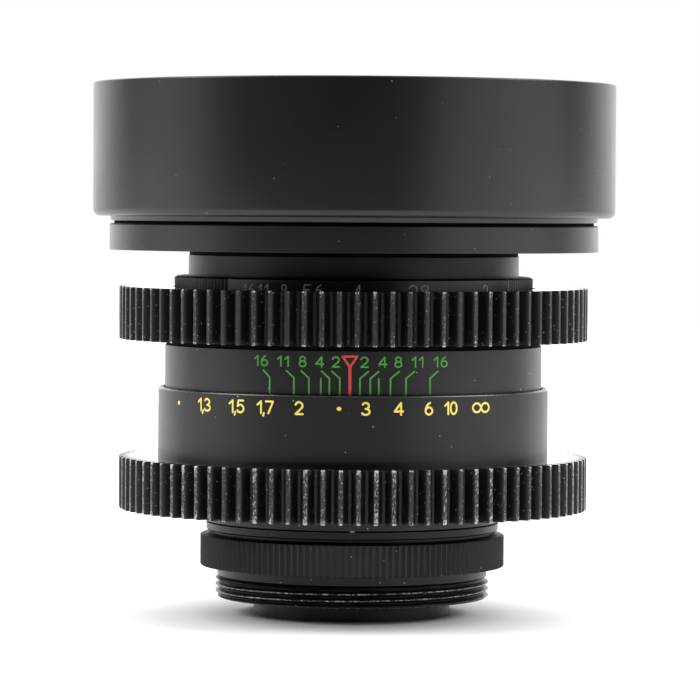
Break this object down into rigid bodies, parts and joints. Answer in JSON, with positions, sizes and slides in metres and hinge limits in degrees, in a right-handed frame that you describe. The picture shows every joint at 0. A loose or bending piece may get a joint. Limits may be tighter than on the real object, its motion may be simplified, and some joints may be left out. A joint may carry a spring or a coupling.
{
  "type": "cinema prime lens",
  "caption": "Fixed-focal lens standing on its rear end: wide front ring, two follow-focus gears, focus and depth scales, preset iris ring, knurled mount ring and camera thread.",
  "frame": {"origin": "centre of the rear cell's end face, on which the lens stands: the bottom centre of the whole", "axes": "+Z along the optical axis, out of the front of the lens; the index mark and the scales face -Y"},
  "size_m": [0.08, 0.08, 0.0812],
  "materials": {
    "front_ring_black": "satin black anodised, with the fine turning marks of the lathe",
    "barrel_black": "satin black anodised, white and coloured engraving",
    "gear_black": "black acetal, cut teeth rubbed pale at the corners",
    "mount_black": "black anodised, bright where the thread has worn",
    "inside_black": "matte black paint against stray light",
    "carrier_brass": "turned brass, greased",
    "screw_steel": "turned steel",
    "blade_steel": "blackened spring steel, matte",
    "crown_glass": "polished, coated amber and violet",
    "flint_glass": "polished, coated amber and violet"
  },
  "bodies": {
    "mount": {"mount_barrel": "mount_black", "mount_ring": "mount_black", "mount_screws": "screw_steel", "sleeve_retainer": "carrier_brass", "guide_keys": "carrier_brass", "guide_key_screws": "screw_steel", "focus_stop_pin": "screw_steel"},
    "focus": {"focus_ring": "barrel_black", "focus_gear": "gear_black", "focus_sleeve": "barrel_black", "focus_ring_screws": "screw_steel"},
    "optics": {"front_ring": "front_ring_black", "step_up_ring": "front_ring_black", "filter_barrel": "barrel_black", "name_ring": "barrel_black", "front_retaining_ring": "inside_black", "front_element": "crown_glass", "front_spacer": "inside_black", "front_doublet_crown": "crown_glass", "front_doublet_flint": "flint_glass", "front_cell": "inside_black", "optics_barrel": "inside_black", "iris_housing": "inside_black", "rear_cell": "inside_black", "rear_doublet_flint": "flint_glass", "rear_doublet_crown": "crown_glass", "rear_spacer": "inside_black", "rear_element": "crown_glass", "rear_retaining_ring": "inside_black", "infinity_shim": "carrier_brass", "optics_lock_ring": "inside_black", "inner_helicoid": "carrier_brass", "depth_scale_ring": "barrel_black", "depth_ring_screws": "screw_steel", "preset_click_ball": "screw_steel", "preset_click_spring": "screw_steel"},
    "preset": {"preset_ring": "barrel_black"},
    "aperture": {"aperture_ring": "barrel_black", "aperture_gear": "gear_black", "aperture_link_screw": "screw_steel", "iris_rotor": "inside_black"},
    "blade_1": {"iris_blade_1": "blade_steel"},
    "blade_2": {"iris_blade_2": "blade_steel"},
    "blade_3": {"iris_blade_3": "blade_steel"},
    "blade_4": {"iris_blade_4": "blade_steel"},
    "blade_5": {"iris_blade_5": "blade_steel"},
    "blade_6": {"iris_blade_6": "blade_steel"},
    "blade_7": {"iris_blade_7": "blade_steel"},
    "blade_8": {"iris_blade_8": "blade_steel"}
  },
  "joints": [
    {"name": "focus_turn", "type": "hinge", "parent": "mount", "child": "focus", "pos_m": [0, 0, 0.0203], "axis": [0, 0, 1], "range_deg": [-40, 240]},
    {"name": "focus_travel", "type": "slide", "parent": "mount", "child": "optics", "axis": [0, 0, 1], "range_m": [-0.0013, 0.00781]},
    {"name": "preset_turn", "type": "hinge", "parent": "optics", "child": "preset", "pos_m": [0, 0, 0.0493], "axis": [0, 0, 1], "range_deg": [-46, 33]},
    {"name": "aperture_turn", "type": "hinge", "parent": "optics", "child": "aperture", "pos_m": [0, 0, 0.0446], "axis": [0, 0, 1], "range_deg": [-46, 33]},
    {"name": "blade_1_turn", "type": "hinge", "parent": "optics", "child": "blade_1", "pos_m": [0.0152, 0, 0.0219], "axis": [0, 0, 1], "range_deg": [-18.87, 13.54]},
    {"name": "blade_2_turn", "type": "hinge", "parent": "optics", "child": "blade_2", "pos_m": [0.01075, 0.01075, 0.0219], "axis": [0, 0, 1], "range_deg": [-18.87, 13.54]},
    {"name": "blade_3_turn", "type": "hinge", "parent": "optics", "child": "blade_3", "pos_m": [0, 0.0152, 0.0219], "axis": [0, 0, 1], "range_deg": [-18.87, 13.54]},
    {"name": "blade_4_turn", "type": "hinge", "parent": "optics", "child": "blade_4", "pos_m": [-0.01075, 0.01075, 0.0219], "axis": [0, 0, 1], "range_deg": [-18.87, 13.54]},
    {"name": "blade_5_turn", "type": "hinge", "parent": "optics", "child": "blade_5", "pos_m": [-0.0152, 0, 0.0219], "axis": [0, 0, 1], "range_deg": [-18.87, 13.54]},
    {"name": "blade_6_turn", "type": "hinge", "parent": "optics", "child": "blade_6", "pos_m": [-0.01075, -0.01075, 0.0219], "axis": [0, 0, 1], "range_deg": [-18.87, 13.54]},
    {"name": "blade_7_turn", "type": "hinge", "parent": "optics", "child": "blade_7", "pos_m": [0, -0.0152, 0.0219], "axis": [0, 0, 1], "range_deg": [-18.87, 13.54]},
    {"name": "blade_8_turn", "type": "hinge", "parent": "optics", "child": "blade_8", "pos_m": [0.01075, -0.01075, 0.0219], "axis": [0, 0, 1], "range_deg": [-18.87, 13.54]}
  ],
  "couplings": [
    {"joint": "focus_travel", "follows": "focus_turn", "m_per_rad": 0.0018621},
    {"joint": "blade_1_turn", "follows": "aperture_turn", "ratio": 0.41},
    {"joint": "blade_2_turn", "follows": "aperture_turn", "ratio": 0.41},
    {"joint": "blade_3_turn", "follows": "aperture_turn", "ratio": 0.41},
    {"joint": "blade_4_turn", "follows": "aperture_turn", "ratio": 0.41},
    {"joint": "blade_5_turn", "follows": "aperture_turn", "ratio": 0.41},
    {"joint": "blade_6_turn", "follows": "aperture_turn", "ratio": 0.41},
    {"joint": "blade_7_turn", "follows": "aperture_turn", "ratio": 0.41},
    {"joint": "blade_8_turn", "follows": "aperture_turn", "ratio": 0.41}
  ]
}
